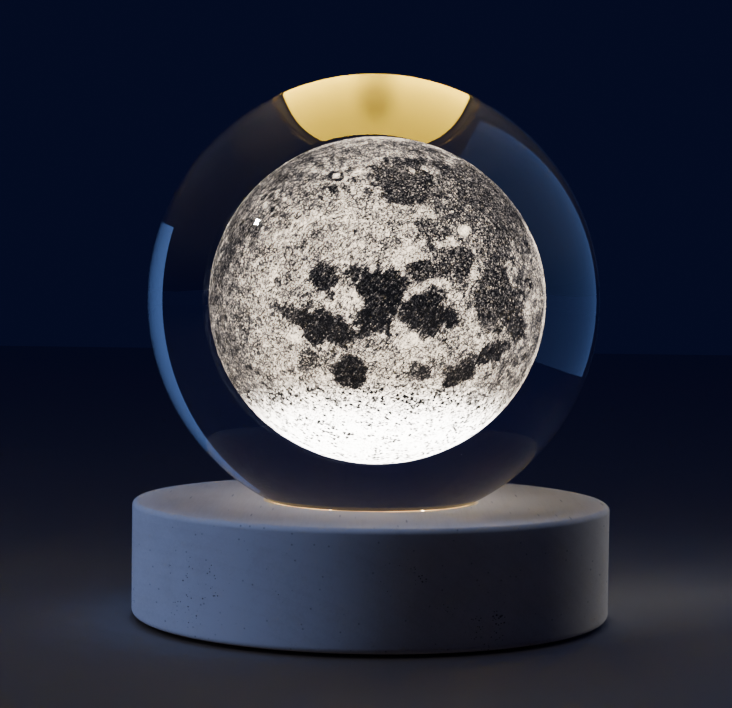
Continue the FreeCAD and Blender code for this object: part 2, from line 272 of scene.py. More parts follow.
def lattice_noise(points, seed):
    """Value noise from 0 to 1: random numbers on a repeating lattice, blended between the
    eight nearest corners with the weight 3 t^2 - 2 t^3 along each axis."""
    size = 32
    values = np.random.default_rng(seed).random((size, size, size))
    base = np.floor(points).astype(int)
    t = points - base
    t = t * t * (3 - 2 * t)
    total = np.zeros(len(points))
    for step in np.ndindex(2, 2, 2):
        weight = np.where(step, t, 1 - t).prod(axis=1)
        total += weight * values[tuple((base + step).T % size)]
    return total


def layered_noise(points, seed, layers):
    """Sum of value noises, each twice as fine and half as strong."""
    total = np.zeros(len(points))
    reach = 0.0
    for k in range(layers):
        total += lattice_noise(points * 2 ** k + 11.3 * k, seed + k) / 2 ** k
        reach += 1 / 2 ** k
    return total / reach


def smooth_step(low, high, x):
    """0 below low, 1 above high, 3 t^2 - 2 t^3 between."""
    t = np.clip((x - low) / (high - low), 0, 1)
    return t * t * (3 - 2 * t)


# --- shader helpers ---

def new_material(name):
    """Material with a node tree, its Principled shader and the tree's wiring."""
    material = bpy.data.materials.new(name)
    material.use_nodes = True
    tree = material.node_tree
    return material, tree.nodes["Principled BSDF"], Wiring(tree)


def set_values(node, **values):
    """Sets sockets by name; an underscore stands for a space."""
    for key, value in values.items():
        node.inputs[key.replace("_", " ")].default_value = value


NOWHERE = (0, 0, 0)


class Wiring:
    """Adds nodes to a tree and joins their sockets."""

    def __init__(self, tree):
        self.tree = tree

    def node(self, kind, **settings):
        made = self.tree.nodes.new("ShaderNode" + kind)
        for key, value in settings.items():
            setattr(made, key, value)
        return made

    def join(self, out, into):
        self.tree.links.new(out, into)

    def feed(self, socket, value):
        if isinstance(value, bpy.types.NodeSocket):
            self.join(value, socket)
        else:
            socket.default_value = value

    def put(self, kind, output, *values, **settings):
        """Adds a node, feeds its inputs in their order and gives one output."""
        made = self.node(kind, **settings)
        for socket, value in zip(made.inputs, values):
            self.feed(socket, value)
        return made.outputs[output]

    def math(self, operation, *values, clamp=False):
        return self.put("Math", 0, *values, operation=operation, use_clamp=clamp)

    plus = partialmethod(math, "ADD")
    less = partialmethod(math, "SUBTRACT")
    times = partialmethod(math, "MULTIPLY")

    def mix(self, factor, first, second):
        made = self.node("Mix", data_type="RGBA", blend_type="MIX")
        self.feed(made.inputs["Factor"], factor)
        self.feed(made.inputs[6], first)
        self.feed(made.inputs[7], second)
        return made.outputs[2]

    def dimmed(self, colour, share):
        """Colour times a number."""
        return self.put("VectorMath", 0, colour, NOWHERE, NOWHERE, share, operation="SCALE")

    def scaled(self, vector, scale, turn=None, move=NOWHERE):
        """Vector turned about the axes, then scaled and moved."""
        if turn is not None:
            vector = self.put("Mapping", 0, vector, NOWHERE, turn)
        return self.put("Mapping", 0, vector, move, NOWHERE, scale)

    def distance(self, vector, scale, move=NOWHERE):
        """Length of the scaled and moved vector."""
        moved = self.scaled(vector, scale, move=move)
        return self.put("VectorMath", "Value", moved, operation="LENGTH")

    def noise(self, vector, scale=1.0, detail=2.0, rough=0.5):
        return self.put("TexNoise", "Fac", vector, 0.0, scale, detail, rough)

    def cells(self, vector, output="Distance"):
        return self.put("TexVoronoi", output, vector, 0.0, 1.0)

    def cell_chance(self, vector, channel=0):
        """Random number from 0 to 1 that is the same all over one cell."""
        return self.put("SeparateColor", channel, self.cells(vector, "Color"))

    def ramp(self, value, low, high, to_low=0.0, to_high=1.0):
        return self.put("MapRange", 0, value, low, high, to_low, to_high,
                        interpolation_type="SMOOTHSTEP")

    def object_place(self):
        return self.put("TexCoord", "Object")

    def attribute(self, name):
        return self.put("Attribute", "Fac", attribute_name=name)

    def mirrored(self):
        """1 where the surface is seen by a mirror reflection, else 0."""
        return self.math("MINIMUM", self.put("LightPath", "Glossy Depth"), 1.0)

    def lay(self, shader, finish, strength, depth_mm, colour=None):
        """Joins a finish's colour, roughness and height to the shader; another colour may
        take the place of its own."""
        self.join(finish["Colour"] if colour is None else colour, shader.inputs["Base Color"])
        self.join(finish["Roughness"], shader.inputs["Roughness"])
        made = self.node("Bump")
        set_values(made, Strength=strength, Distance=depth_mm * MM)
        self.join(finish["Height"], made.inputs["Height"])
        self.join(made.outputs["Normal"], shader.inputs["Normal"])


def new_group(name, takes, gives):
    """Shader group with named inputs and outputs: (name, kind, default) and (name, kind)."""
    tree = bpy.data.node_groups.new(name, "ShaderNodeTree")
    for label, kind, default in takes:
        socket = tree.interface.new_socket(name=label, in_out="INPUT", socket_type=kind)
        socket.default_value = default
    for label, kind in gives:
        tree.interface.new_socket(name=label, in_out="OUTPUT", socket_type=kind)
    entry = tree.nodes.new("NodeGroupInput")
    leave = tree.nodes.new("NodeGroupOutput")
    return tree, Wiring(tree), entry.outputs, leave.inputs


NUMBER = "NodeSocketFloat"
COLOUR = "NodeSocketColor"
FINISH_OUTPUTS = [("Colour", COLOUR), ("Roughness", NUMBER), ("Height", NUMBER)]


def use_group(wiring, group, **values):
    """Places a group with its own values in a material."""
    made = wiring.node("Group", node_tree=group)
    for key, value in values.items():
        wiring.feed(made.inputs[key.replace("_", " ")], value)
    return made.outputs


# --- shared finishes ---

MOTTLE_CLOUD_SHARE = 0.6
MOTTLE_SPECKLE_SHARE = 0.4
MOTTLE_GAIN = 4.0


def fine_mottle_group():
    """Moulded and painted surfaces: a colour varied by a broad cloud and fine speckle, the
    roughness that goes with it and a fine height."""
    tree, w, takes, gives = new_group(
        "fine_mottle",
        [("Colour", COLOUR, (0.5, 0.5, 0.5, 1)), ("Variation", NUMBER, 0.12),
         ("Cloud Scale", NUMBER, 120.0), ("Speckle Scale", NUMBER, 2600.0),
         ("Roughness", NUMBER, 0.5), ("Roughness Spread", NUMBER, 0.12)],
        FINISH_OUTPUTS)
    place = w.object_place()
    cloud = w.noise(place, takes["Cloud Scale"], detail=4.0, rough=0.6)
    speckle = w.noise(place, takes["Speckle Scale"], detail=2.0, rough=0.6)
    blend = w.plus(w.times(cloud, MOTTLE_CLOUD_SHARE), w.times(speckle, MOTTLE_SPECKLE_SHARE))
    swing = w.times(w.less(blend, 0.5), MOTTLE_GAIN)
    lift = w.plus(w.times(swing, takes["Variation"]), 1.0)
    w.join(w.dimmed(takes["Colour"], lift), gives["Colour"])
    spread = w.times(swing, takes["Roughness Spread"])
    w.join(w.plus(takes["Roughness"], spread, clamp=True), gives["Roughness"])
    w.join(speckle, gives["Height"])
    return tree


DRAWN_LINES = (9000, 300, 9000)
TARNISH_SCALE = 260.0


def brushed_metal_group():
    """Metal with fine drawn lines along one axis: colour, roughness and height."""
    tree, w, takes, gives = new_group(
        "drawn_metal",
        [("Colour", COLOUR, (0.6, 0.6, 0.6, 1)), ("Roughness", NUMBER, 0.35)],
        FINISH_OUTPUTS)
    place = w.object_place()
    lines = w.noise(w.scaled(place, DRAWN_LINES), detail=3.0, rough=0.6)
    tarnish = w.noise(place, TARNISH_SCALE, detail=5.0, rough=0.65)
    tone = w.plus(w.times(lines, 0.25), w.times(tarnish, 0.5))
    w.join(w.dimmed(takes["Colour"], w.plus(tone, 0.62)), gives["Colour"])
    dull = w.plus(takes["Roughness"], w.times(tarnish, 0.25), clamp=True)
    w.join(dull, gives["Roughness"])
    w.join(lines, gives["Height"])
    return tree


# Wood, in metres and cells per metre; the grain runs along Y.
RING_MIDDLE = (0.031, 0, 0.052)
RINGS_PER_METRE = 480.0
RING_WANDER = 2.6
LATE_WOOD_STARTS = 0.45
RING_ENDS = 0.97
WANDER_SCALE = (18, 5, 18)
FIBRE_SCALE = (2400, 90, 2400)
FIBRE_SHADE = 0.55
CLOUD_SCALE = (230, 90, 230)
CLOUD_SHADE = 0.55
BROAD_SCALE = (55, 16, 55)
BROAD_SHADE = 0.9
SCRATCH_SCALE = (600, 45, 600)
SCRATCH_MOVE = (0.4, 0.2, 0)
SCRATCH_SHADE = 0.45
PORE_SCALE = (1900, 80, 1900)
PORE_FIELD_SCALE = (70, 26, 70)
PORE_RADIUS = 0.42
PORE_SHADE = 0.85
PATCH_SCALE = (1, 0, 0.8)
PATCH_MOVE = (0.0285, 0, -0.0070)
PATCH_FULL_WITHIN = 1.5 * MM
PATCH_ENDS = 10.0 * MM
PATCH_AMOUNT = 0.66
PATCH_GAPS = (700, 40, 700)


def wood_grain_group():
    """Wood cut with its grain along Y. Growth rings are waves of the distance from an axis
    along Y; fibres are noise stretched along Y; pores are small cells stretched along Y, so
    they are short dashes on the top and dots on the end grain in front, most of them in a
    loose patch at the left."""
    tree, w, takes, gives = new_group(
        "wood_grain",
        [("Pale", COLOUR, (0.62, 0.52, 0.42, 1)), ("Dark", COLOUR, (0.45, 0.34, 0.24, 1)),
         ("Pore Colour", COLOUR, (0.06, 0.045, 0.035, 1)), ("Ring Strength", NUMBER, 0.35)],
        FINISH_OUTPUTS)
    place = w.object_place()

    def field(scale, detail, rough=0.5):
        return w.noise(w.scaled(place, scale), 1.0, detail, rough)

    wander = field(WANDER_SCALE, 3.0)
    reach = w.distance(place, (1, 0, 1), RING_MIDDLE)
    ringed = w.plus(w.times(reach, RINGS_PER_METRE), w.times(wander, RING_WANDER))
    ring_wave = w.math("FRACT", ringed)
    rings = w.times(w.ramp(ring_wave, LATE_WOOD_STARTS, RING_ENDS),
                    w.ramp(ring_wave, RING_ENDS, 1.0, 1.0, 0.0))
    fibres = field(FIBRE_SCALE, 3.0, 0.6)
    clouds = field(CLOUD_SCALE, 4.0, 0.6)
    broad = field(BROAD_SCALE, 3.0)
    shade = w.plus(w.times(rings, takes["Ring Strength"]),
                   w.times(w.less(fibres, 0.5), FIBRE_SHADE))
    shade = w.plus(shade, w.times(w.less(clouds, 0.5), CLOUD_SHADE))
    shade = w.plus(shade, w.times(w.less(broad, 0.42), BROAD_SHADE), clamp=True)
    body = w.mix(shade, takes["Pale"], takes["Dark"])

    gate = w.ramp(field(PORE_FIELD_SCALE, 4.0, 0.65), 0.55, 0.74)
    patch = w.ramp(w.distance(place, PATCH_SCALE, PATCH_MOVE), PATCH_FULL_WITHIN, PATCH_ENDS,
                   PATCH_AMOUNT, 0.0)
    patch = w.times(patch, w.ramp(field(PATCH_GAPS, 1.0), 0.50, 0.60))
    gate = w.math("MAXIMUM", gate, patch)
    pore_gap = w.less(w.cells(w.scaled(place, PORE_SCALE)), w.times(gate, PORE_RADIUS))
    pores = w.ramp(pore_gap, -0.06, 0.03, 1.0, 0.0)
    scratches = w.ramp(w.cells(w.scaled(place, SCRATCH_SCALE, move=SCRATCH_MOVE)),
                       0.05, 0.13, SCRATCH_SHADE, 0.0)
    marks = w.math("MAXIMUM", w.times(pores, PORE_SHADE), scratches)
    w.join(w.mix(marks, body, takes["Pore Colour"]), gives["Colour"])
    w.join(w.plus(w.times(fibres, 0.18), 0.62), gives["Roughness"])
    w.join(w.less(w.times(fibres, 0.25), pores), gives["Height"])
    return tree


# Share of painted shade on the wood's colour where it is seen mirrored in the ball.
MIRRORED_WOOD_PAINTED_SHADE = 0.5
BLACK = (0, 0, 0, 1)


def wood_material(grain):
    """Bare pale wood, sanded matt. Where it is mirrored inside the crystal its colour is
    darkened towards black, a painted shade.
    """
    material, shader, w = new_material("sanded_wood")
    out = use_group(w, grain, Pale=(0.66, 0.585, 0.50, 1), Dark=(0.47, 0.385, 0.30, 1),
                    Ring_Strength=0.07)
    # painted shade: the wood darker in its mirror images
    mirrored_painted_shade = w.times(w.mirrored(), MIRRORED_WOOD_PAINTED_SHADE)
    w.lay(shader, out, 0.5, 0.05, colour=w.mix(mirrored_painted_shade, out["Colour"], BLACK))
    set_values(shader, Specular_IOR_Level=0.22)
    return material


def moulded_material(name, mottle, colour, roughness, variation=0.12, speckle=2600.0,
                     bump_depth=0.02):
    """Moulded plastic, rubber, solder mask or paint."""
    material, shader, w = new_material(name)
    out = use_group(w, mottle, Colour=(*colour, 1), Variation=variation,
                    Speckle_Scale=speckle, Roughness=roughness)
    w.lay(shader, out, 0.4, bump_depth)
    return material


def metal_material(name, drawn, colour, roughness):
    """Drawn or stamped metal."""
    material, shader, w = new_material(name)
    out = use_group(w, drawn, Colour=(*colour, 1), Roughness=roughness)
    w.lay(shader, out, 0.3, 0.01)
    set_values(shader, Metallic=1.0)
    return material


def crystal_material():
    """Clear optical crystal."""
    material, shader, _ = new_material("optical_crystal")
    set_values(shader, Base_Color=(1, 1, 1, 1), Roughness=0.0, IOR=1.5168,
               Transmission_Weight=1.0)
    return material


# The first is the colour of the frosted foot's painted glow; the diffuser and chips are lamps.
FOOT_GLOW_COLOUR = (1.0, 0.63, 0.02)
DIFFUSER_COLOUR = (1.0, 0.72, 0.30)
GLOW_BEHIND_COLOUR = (0.45, 0.34, 0.16, 1)
UNLIT_COLOUR = (0.02, 0.016, 0.01, 1)
# Where the glow is dimmer in the middle; on the frosted foot this is painted shade.
DIM_MIDDLE_SCALE = (1, 0.62, 0)
DIM_MIDDLE_STARTS = 1.0 * MM
DIM_MIDDLE_ENDS = 5.2 * MM


def glow_material(name, colour, strength, mottle, shade_depth=0.0, glow_radius=WELL_RADIUS,
                  rim_light=1.0, straight=1.0, lit_above=-1.0):
    """Milky light surface: a warm glow, dimmer in the middle between the chips. Past its
    radius it falls to the rim light. Seen straight it shows a share of its strength, and
    all of it where it is mirrored in the ball. Faces below lit_above stay dark."""
    material, shader, w = new_material(name)
    place = w.object_place()
    outward = w.distance(place, (1, 1, 0))
    # the glow dimmer in the middle: painted shade on the frosted foot
    dim_middle = w.ramp(w.distance(place, DIM_MIDDLE_SCALE), DIM_MIDDLE_STARTS, DIM_MIDDLE_ENDS,
                    1.0 - shade_depth, 1.0)
    past_edge = w.ramp(outward, (glow_radius - 0.15) * MM, (glow_radius + 0.25) * MM,
                       1.0, rim_light)
    light = w.times(w.times(dim_middle, w.ramp(outward, 7 * MM, 15 * MM, 0.88, 1.15)), past_edge)
    light = w.times(light, w.plus(w.times(w.mirrored(), 1.0 - straight), straight))
    height = w.put("SeparateXYZ", "Z", place)
    upper = w.ramp(height, (lit_above - 0.01) * MM, (lit_above + 0.01) * MM)
    light = w.times(light, upper)
    out = use_group(w, mottle, Colour=(*colour, 1), Variation=0.06, Cloud_Scale=220.0,
                    Roughness=0.6)
    w.join(w.dimmed(out["Colour"], light), shader.inputs["Emission Color"])
    set_values(shader, Emission_Strength=strength)
    w.lay(shader, out, 0.3, 0.02, colour=w.mix(past_edge, UNLIT_COLOUR, GLOW_BEHIND_COLOUR))
    return material


# --- the engraved moon ---

# The moon's map, in the photograph's pixels: across and down from the picture's top left
# corner, half sizes, a turn in degrees, how dark the middle is and how ragged the edge.
Patch = namedtuple("Patch", "across down half_width half_height turn dark ragged",
                   defaults=[1.0])
Spot = namedtuple("Spot", "across down reach bright")

MOON_ACROSS_PX = 375.66
MOON_DOWN_PX = 299.9
MOON_HALF_WIDTH_PX = 169.6
MOON_HALF_HEIGHT_PX = 164.3
LIMB_DEG = 104.0
FOOT_LIGHT_STARTS = -0.50
FOOT_LIGHT_FULL = -0.87

DARK_SEAS = [Patch(*row) for row in (
    (381, 296, 23, 29, -12, 0.97), (374, 318, 20, 13, 10, 0.92), (428, 313, 27, 23, -15, 0.98),
    (322, 326, 25, 19, 15, 0.95), (286, 311, 14, 6, 20, 0.72), (304, 318, 12, 10, 0, 0.8),
    (349, 372, 17, 17, 0, 1.0, 0.35), (496, 296, 27, 32, 10, 0.68), (323, 276, 12, 11, 0, 0.84),
    (353, 273, 9, 8, 0, 0.72), (423, 268, 15, 10, 0, 0.72), (401, 180, 34, 21, 8, 0.60, 1.5),
    (440, 196, 26, 12, 28, 0.5, 0.7), (478, 212, 42, 62, -30, 0.43, 0.7),
    (490, 235, 26, 40, -10, 0.47), (452, 258, 24, 18, 0, 0.66), (432, 232, 20, 14, -20, 0.56),
    (460, 374, 18, 9, -42, 0.88), (492, 352, 20, 8, -32, 0.78), (517, 330, 10, 10, -40, 0.66),
    (418, 371, 11, 9, 0, 0.66), (331, 188, 3.2, 3.0, 0, 0.9), (498, 330, 3.4, 3.4, 0, 0.9),
    (305, 360, 12, 10, 0, 0.52),
)]

RING_CRATER = Patch(335, 175, 6.2, 4.0, 0, 0.75)

BRIGHT_SPOTS = [Spot(*row) for row in (
    (464, 229, 6, 0.9), (292, 338, 6, 0.6), (335, 175, 3, 0.45), (350, 294, 9, 0.25),
    (415, 338, 12, 0.45), (440, 285, 10, 0.5), (395, 262, 8, 0.25),
)]


def moon_directions(rings, meridians):
    """Unit directions of a lat-long grid: (cos b cos a, cos b sin a, sin b)."""
    height = np.linspace(-np.pi / 2, np.pi / 2, rings + 1)
    radii = np.cos(height)
    radii[0] = radii[-1] = 0.0
    return turned_points(radii, np.sin(height), meridians)


def seen_through_crystal(directions):
    """Where each direction on the moon shows in the picture. Through the crystal, a point
    at the angle t from the line of sight shows at the fraction s of the outline's radius,
    with t = asin s + asin(0.7475 s) - asin(0.4928 s) - asin(0.0854 s), the last part for the
    camera's nearness. Past the edge s goes on evenly."""
    _, right, up = camera_axes()
    sight = (Vector((MOON_OFFSET_X, 0, BALL_CENTRE_Z)) - camera_eye()).normalized()
    right = (right - sight * right.dot(sight)).normalized()
    up = right.cross(sight)
    sight, right, up = (np.array(axis) for axis in (sight, right, up))
    toward = -(directions @ sight)
    angle = np.arccos(np.clip(toward, -1, 1))
    s = np.linspace(0, 1, 400)
    t = np.arcsin(s) + np.arcsin(0.7475 * s) - np.arcsin(0.4928 * s) - np.arcsin(0.0854 * s)
    fraction = np.interp(angle, t, s)
    past = angle - math.radians(LIMB_DEG)
    fraction = np.where(past > 0, 1 + past * 0.9, fraction)
    turn = np.arctan2(directions @ up, directions @ right)
    across = MOON_ACROSS_PX + MOON_HALF_WIDTH_PX * fraction * np.cos(turn)
    down = MOON_DOWN_PX - MOON_HALF_HEIGHT_PX * fraction * np.sin(turn)
    return across, down, fraction


FRONT_ENDS = 1.3
MIDDLE_TONE = 0.61
# Painted shade towards the limb, a painted highlight at the outline and painted light towards the
# foot.
EDGE_SHADE = 0.09
EDGE_SHADE_LEFT = 0.11
RIM_PAINTED_HIGHLIGHT = 0.24
RAY_COUNT = 9
FOOT_PAINTED_LIGHT = 0.55
SCORCH_DEPTH = 0.7


def sea_darkness(across, down, rough, fine):
    """How dark the seas are at each place on the map: turned ellipses with a ragged edge,
    q = |place in the ellipse| + noise, dark where q < 1."""
    dark = np.zeros(len(across))
    for sea in DARK_SEAS:
        turn = math.radians(sea.turn)
        du = across - sea.across
        dv = down - sea.down
        a = (du * math.cos(turn) + dv * math.sin(turn)) / sea.half_width
        b = (dv * math.cos(turn) - du * math.sin(turn)) / sea.half_height
        q = np.hypot(a, b) + sea.ragged * (1.3 * rough + 0.8 * fine)
        dark = np.maximum(dark, sea.dark * (1 - smooth_step(0.82, 1.18, q)))
    return dark


def engraving_density(directions):
    """How densely each place is engraved, with painted light laid on it: brighter towards
    the foot as if lit from below, painted shade towards the limb and more on the left, and a
    painted highlight in a thin ring at the outline; from 0 dark to 1 bright, and how high it
    lies. Craters are rings, bright at q = 1 and dark inside. Also how strongly the foot
    lights each place, and how soft its dots are, which grows towards the limb."""
    across, down, fraction = seen_through_crystal(directions)
    rough = layered_noise(directions * 9.0 + 40.0, 5, 5) - 0.5
    fine = layered_noise(directions * 26.0 + 70.0, 17, 4) - 0.5
    front = fraction < FRONT_ENDS
    dark = sea_darkness(across, down, rough, fine) * front
    back_sea = smooth_step(0.56, 0.66, layered_noise(directions * 2.2 + 9.0, 91, 5))
    dark = np.maximum(dark, 0.8 * back_sea * smooth_step(1.12, 1.4, fraction))
    foot_light = smooth_step(FOOT_LIGHT_STARTS, FOOT_LIGHT_FULL, directions[:, 2])
    medium = layered_noise(directions * 15.0 + 20.0, 29, 4) - 0.5
    bright = MIDDLE_TONE + 0.5 * rough + 0.5 * fine + 0.25 * medium
    leftward = smooth_step(0.0, 0.8, (MOON_ACROSS_PX - across) / MOON_HALF_WIDTH_PX)
    still_front = 1 - smooth_step(1.02, 1.5, fraction)
    edge = smooth_step(0.68, 0.94, fraction) * (1 - foot_light) * still_front
    # painted shade: darker towards the outline, more on the left
    bright = bright - (EDGE_SHADE + EDGE_SHADE_LEFT * leftward) * edge
    # painted highlight: a thin bright ring just inside the outline
    rim = smooth_step(0.980, 0.996, fraction) * (1 - smooth_step(0.998, 1.025, fraction))
    bright = bright + RIM_PAINTED_HIGHLIGHT * rim * (1 - 0.7 * leftward)
    du = across - RING_CRATER.across
    dv = down - RING_CRATER.down
    ring = np.hypot(du / RING_CRATER.half_width, dv / RING_CRATER.half_height)
    bright = bright - RING_CRATER.dark * np.exp(-((ring - 1) / 0.28) ** 2) * front
    rays = np.cos(RAY_COUNT * np.arctan2(dv, du) + 1.0)
    bright = bright + 0.16 * rays * np.exp(-((ring - 3.2) / 2.2) ** 2) * front
    for spot in BRIGHT_SPOTS:
        q = np.hypot(across - spot.across, down - spot.down) / spot.reach
        glow = spot.bright * np.exp(-q * q)
        bright = bright + glow
        dark = dark * (1 - glow)
    scorch = smooth_step(0.10, 0.22, fine) * smooth_step(0.02, 0.4, foot_light)
    bright = bright - SCORCH_DEPTH * scorch * (1 - smooth_step(0.5, 0.9, foot_light))
    # painted light: brighter towards the foot, as if lit from below
    density_and_painted_light = (bright + FOOT_PAINTED_LIGHT * foot_light) * (1 - dark)
    foot_light = foot_light * (1 - dark)
    relief = 0.35 * rough + 0.2 * fine - 0.4 * dark
    density_and_painted_light, relief = add_craters(directions, density_and_painted_light, relief, dark)
    return density_and_painted_light, relief, foot_light, edge * (1 - dark)


CRATER_COUNT = 520
CRATER_SMALLEST_DEG = 0.9
CRATER_LARGEST_DEG = 3.4
CRATER_RIM_WIDTH = 0.22


def add_craters(directions, density_and_painted_light, relief, dark):
    """Scatters ring craters over the moon. A crater of half angle c has q = angle / c; its
    rim is exp(-((q - 1) / 0.22)^2) and its floor fades out from q = 0.55 to 0.95."""
    chance = np.random.default_rng(23)
    for _ in range(CRATER_COUNT):
        z = chance.uniform(-1, 1)
        turn = chance.uniform(0, 2 * np.pi)
        flat = math.sqrt(1 - z * z)
        middle = np.array([flat * math.cos(turn), flat * math.sin(turn), z])
        size = CRATER_SMALLEST_DEG * (CRATER_LARGEST_DEG / CRATER_SMALLEST_DEG) ** (
            chance.random() ** 2.4)
        near = directions @ middle > math.cos(math.radians(size * 1.8))
        q = np.degrees(np.arccos(np.clip(directions[near] @ middle, -1, 1))) / size
        rim = np.exp(-((q - 1) / CRATER_RIM_WIDTH) ** 2)
        floor = 1 - smooth_step(0.55, 0.95, q)
        strength = chance.uniform(0.2, 0.7)
        density_and_painted_light[near] += strength * (0.35 * rim - 0.28 * floor) * (1 - dark[near])
        relief[near] += 0.5 * strength * (rim - floor)
    return density_and_painted_light, relief


# Layers of laser dots: cells per metre, the random channel, a turn about Y in degrees and
# the weight.
DOT_LAYERS = [
    ((2700, 2700, 2700), 0, None, 0.16),
    ((8000, 8000, 8000), 1, None, 0.70),
    ((6000, 6000, 1700), 2, -42, 0.50),
    ((4900, 4900, 4900), 1, None, 0.38),
]
RIPPLE_SCALE = (1300, 1300, 1300)
RIPPLE_WEIGHT = 0.55
SOFTENING = 0.4
FLECK_SCALE = (1900, 1900, 3000)
FLECK_TURN_DEG = -20
FLECK_PATCH_SCALE = 330.0
FLECK_PATCH_WEIGHT = -2.6
FLECK_FOOT_LOSS = 0.30

MOON_DIMMEST = 0.010
MOON_TONE_RATIO = 400.0
MOON_FOOT_GAIN = 3.2
MOON_CAST = 0.18
MIRRORED_MOON_SHARE = 0.95

SHADED_HUE = (0.84, 0.84, 1.0, 1)
BRIGHT_HUE = (1.0, 0.80, 0.58, 1)
FOOT_HUE = (1.0, 0.96, 0.90, 1)
CAST_HUE = (0.68, 0.77, 1.0, 1)


def moon_material():
    """The engraving: fine laser dots that scatter the lamp's light. A place's tone is its
    engraved density plus the chance of its dots, from straight and slanted cells; its light
    is dimmest * ratio^tone. The light comes from below, so it grows towards the foot, where
    only scattered dark flecks are left. It casts little light on the rest, and its mirror
    images are as dim."""
    material, shader, w = new_material("laser_engraving")
    place = w.object_place()
    # the engraving layer holds the density together with its painted light, painted shade and
    # painted highlight
    density_and_painted_light = w.attribute("engraving")
    foot_light = w.attribute("foot_light")
    ripple = w.noise(w.scaled(place, RIPPLE_SCALE), detail=3.0, rough=0.7)
    dots = w.times(w.less(ripple, 0.5), RIPPLE_WEIGHT)
    for scale, channel, degrees, weight in DOT_LAYERS:
        turn = None if degrees is None else (0, math.radians(degrees), 0)
        chance = w.cell_chance(w.scaled(place, scale, turn), channel)
        dots = w.plus(dots, w.times(w.less(chance, 0.5), weight))
    dots = w.times(dots, w.less(1.0, w.times(w.attribute("softness"), SOFTENING)))

    fleck_place = w.scaled(place, FLECK_SCALE, (0, math.radians(FLECK_TURN_DEG), 0))
    patches = w.noise(place, FLECK_PATCH_SCALE, detail=4.0, rough=0.65)
    rare = w.plus(w.cell_chance(fleck_place), w.times(patches, FLECK_PATCH_WEIGHT))
    rare = w.plus(rare, w.times(foot_light, FLECK_FOOT_LOSS))
    fleck = w.times(w.ramp(rare, -0.80, -0.70, 1.0, 0.0),
                    w.ramp(w.cells(fleck_place), 0.40, 0.60, 1.0, 0.0))
    fleck_depth = w.ramp(foot_light, 0.02, 0.5, 0.10, 1.35)
    tone = w.less(w.plus(density_and_painted_light, dots), w.times(fleck, fleck_depth))
    tone = w.ramp(tone, -0.10, 1.10)
    light = w.times(w.math("POWER", MOON_TONE_RATIO, tone), MOON_DIMMEST)
    light = w.times(light, w.plus(w.times(foot_light, MOON_FOOT_GAIN), 1.0))

    path = w.node("LightPath").outputs
    bounce = w.plus(path["Diffuse Depth"], w.times(path["Glossy Depth"], MIRRORED_MOON_SHARE))
    bounce = w.math("MINIMUM", bounce, 1.0)
    hue = w.mix(foot_light, w.mix(tone, SHADED_HUE, BRIGHT_HUE), FOOT_HUE)
    hue = w.mix(bounce, hue, CAST_HUE)
    cast = w.less(1.0, w.times(bounce, 1.0 - MOON_CAST))
    w.join(w.dimmed(hue, w.times(light, cast)), shader.inputs["Emission Color"])
    w.join(w.mix(tone, (0.002, 0.002, 0.003, 1), (0.16, 0.15, 0.14, 1)),
           shader.inputs["Base Color"])
    set_values(shader, Specular_IOR_Level=0.0, Roughness=0.9, Emission_Strength=1.0)
    return material


MOON_RINGS = 252
MOON_MERIDIANS = 388
RELIEF_HEIGHT = 0.10
DENSEST = 1.3


def engraved_moon():
    """Moon of laser dots in the crystal: a lat-long surface of an ellipsoid whose radius is
    raised and lowered by seas and craters, r = r0 + relief height * relief."""
    directions, index = moon_directions(MOON_RINGS, MOON_MERIDIANS)
    density_and_painted_light, relief, foot_light, softness = engraving_density(directions)
    size = np.array([MOON_HALF_WIDTH, MOON_HALF_WIDTH, MOON_HALF_HEIGHT]) - RELIEF_HEIGHT
    points = directions * (size + RELIEF_HEIGHT * np.clip(relief, -1, 1)[:, None])
    points = points + np.array([MOON_OFFSET_X, 0, BALL_CENTRE_Z])
    moon = make_piece("moon_engraving", points, grid_faces(index, True))
    # the engraving layer carries painted light, painted shade and a painted highlight with the
    # density
    layers = {"engraving": np.clip(density_and_painted_light, 0, DENSEST), "foot_light": foot_light,
              "softness": softness}
    for name, values in layers.items():
        layer = moon.data.attributes.new(name, "FLOAT", "POINT")
        layer.data.foreach_set("value", values.astype(np.float32))
    give(moon, moon_material(), "ball")
    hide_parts("engraved_moon")


# --- the ball ---

BALL_ROWS = 200
BALL_COLUMNS = 320
FROST_BOTTOM = FOOT_Z + 0.06
FROST_TOP = FOOT_Z + 0.12
FROST_MIDDLE = FOOT_Z + 0.14
FROST_LIT_ABOVE = FOOT_Z + 0.09
FROST_COLUMNS = 192
GLOW_RADIUS = 16.45


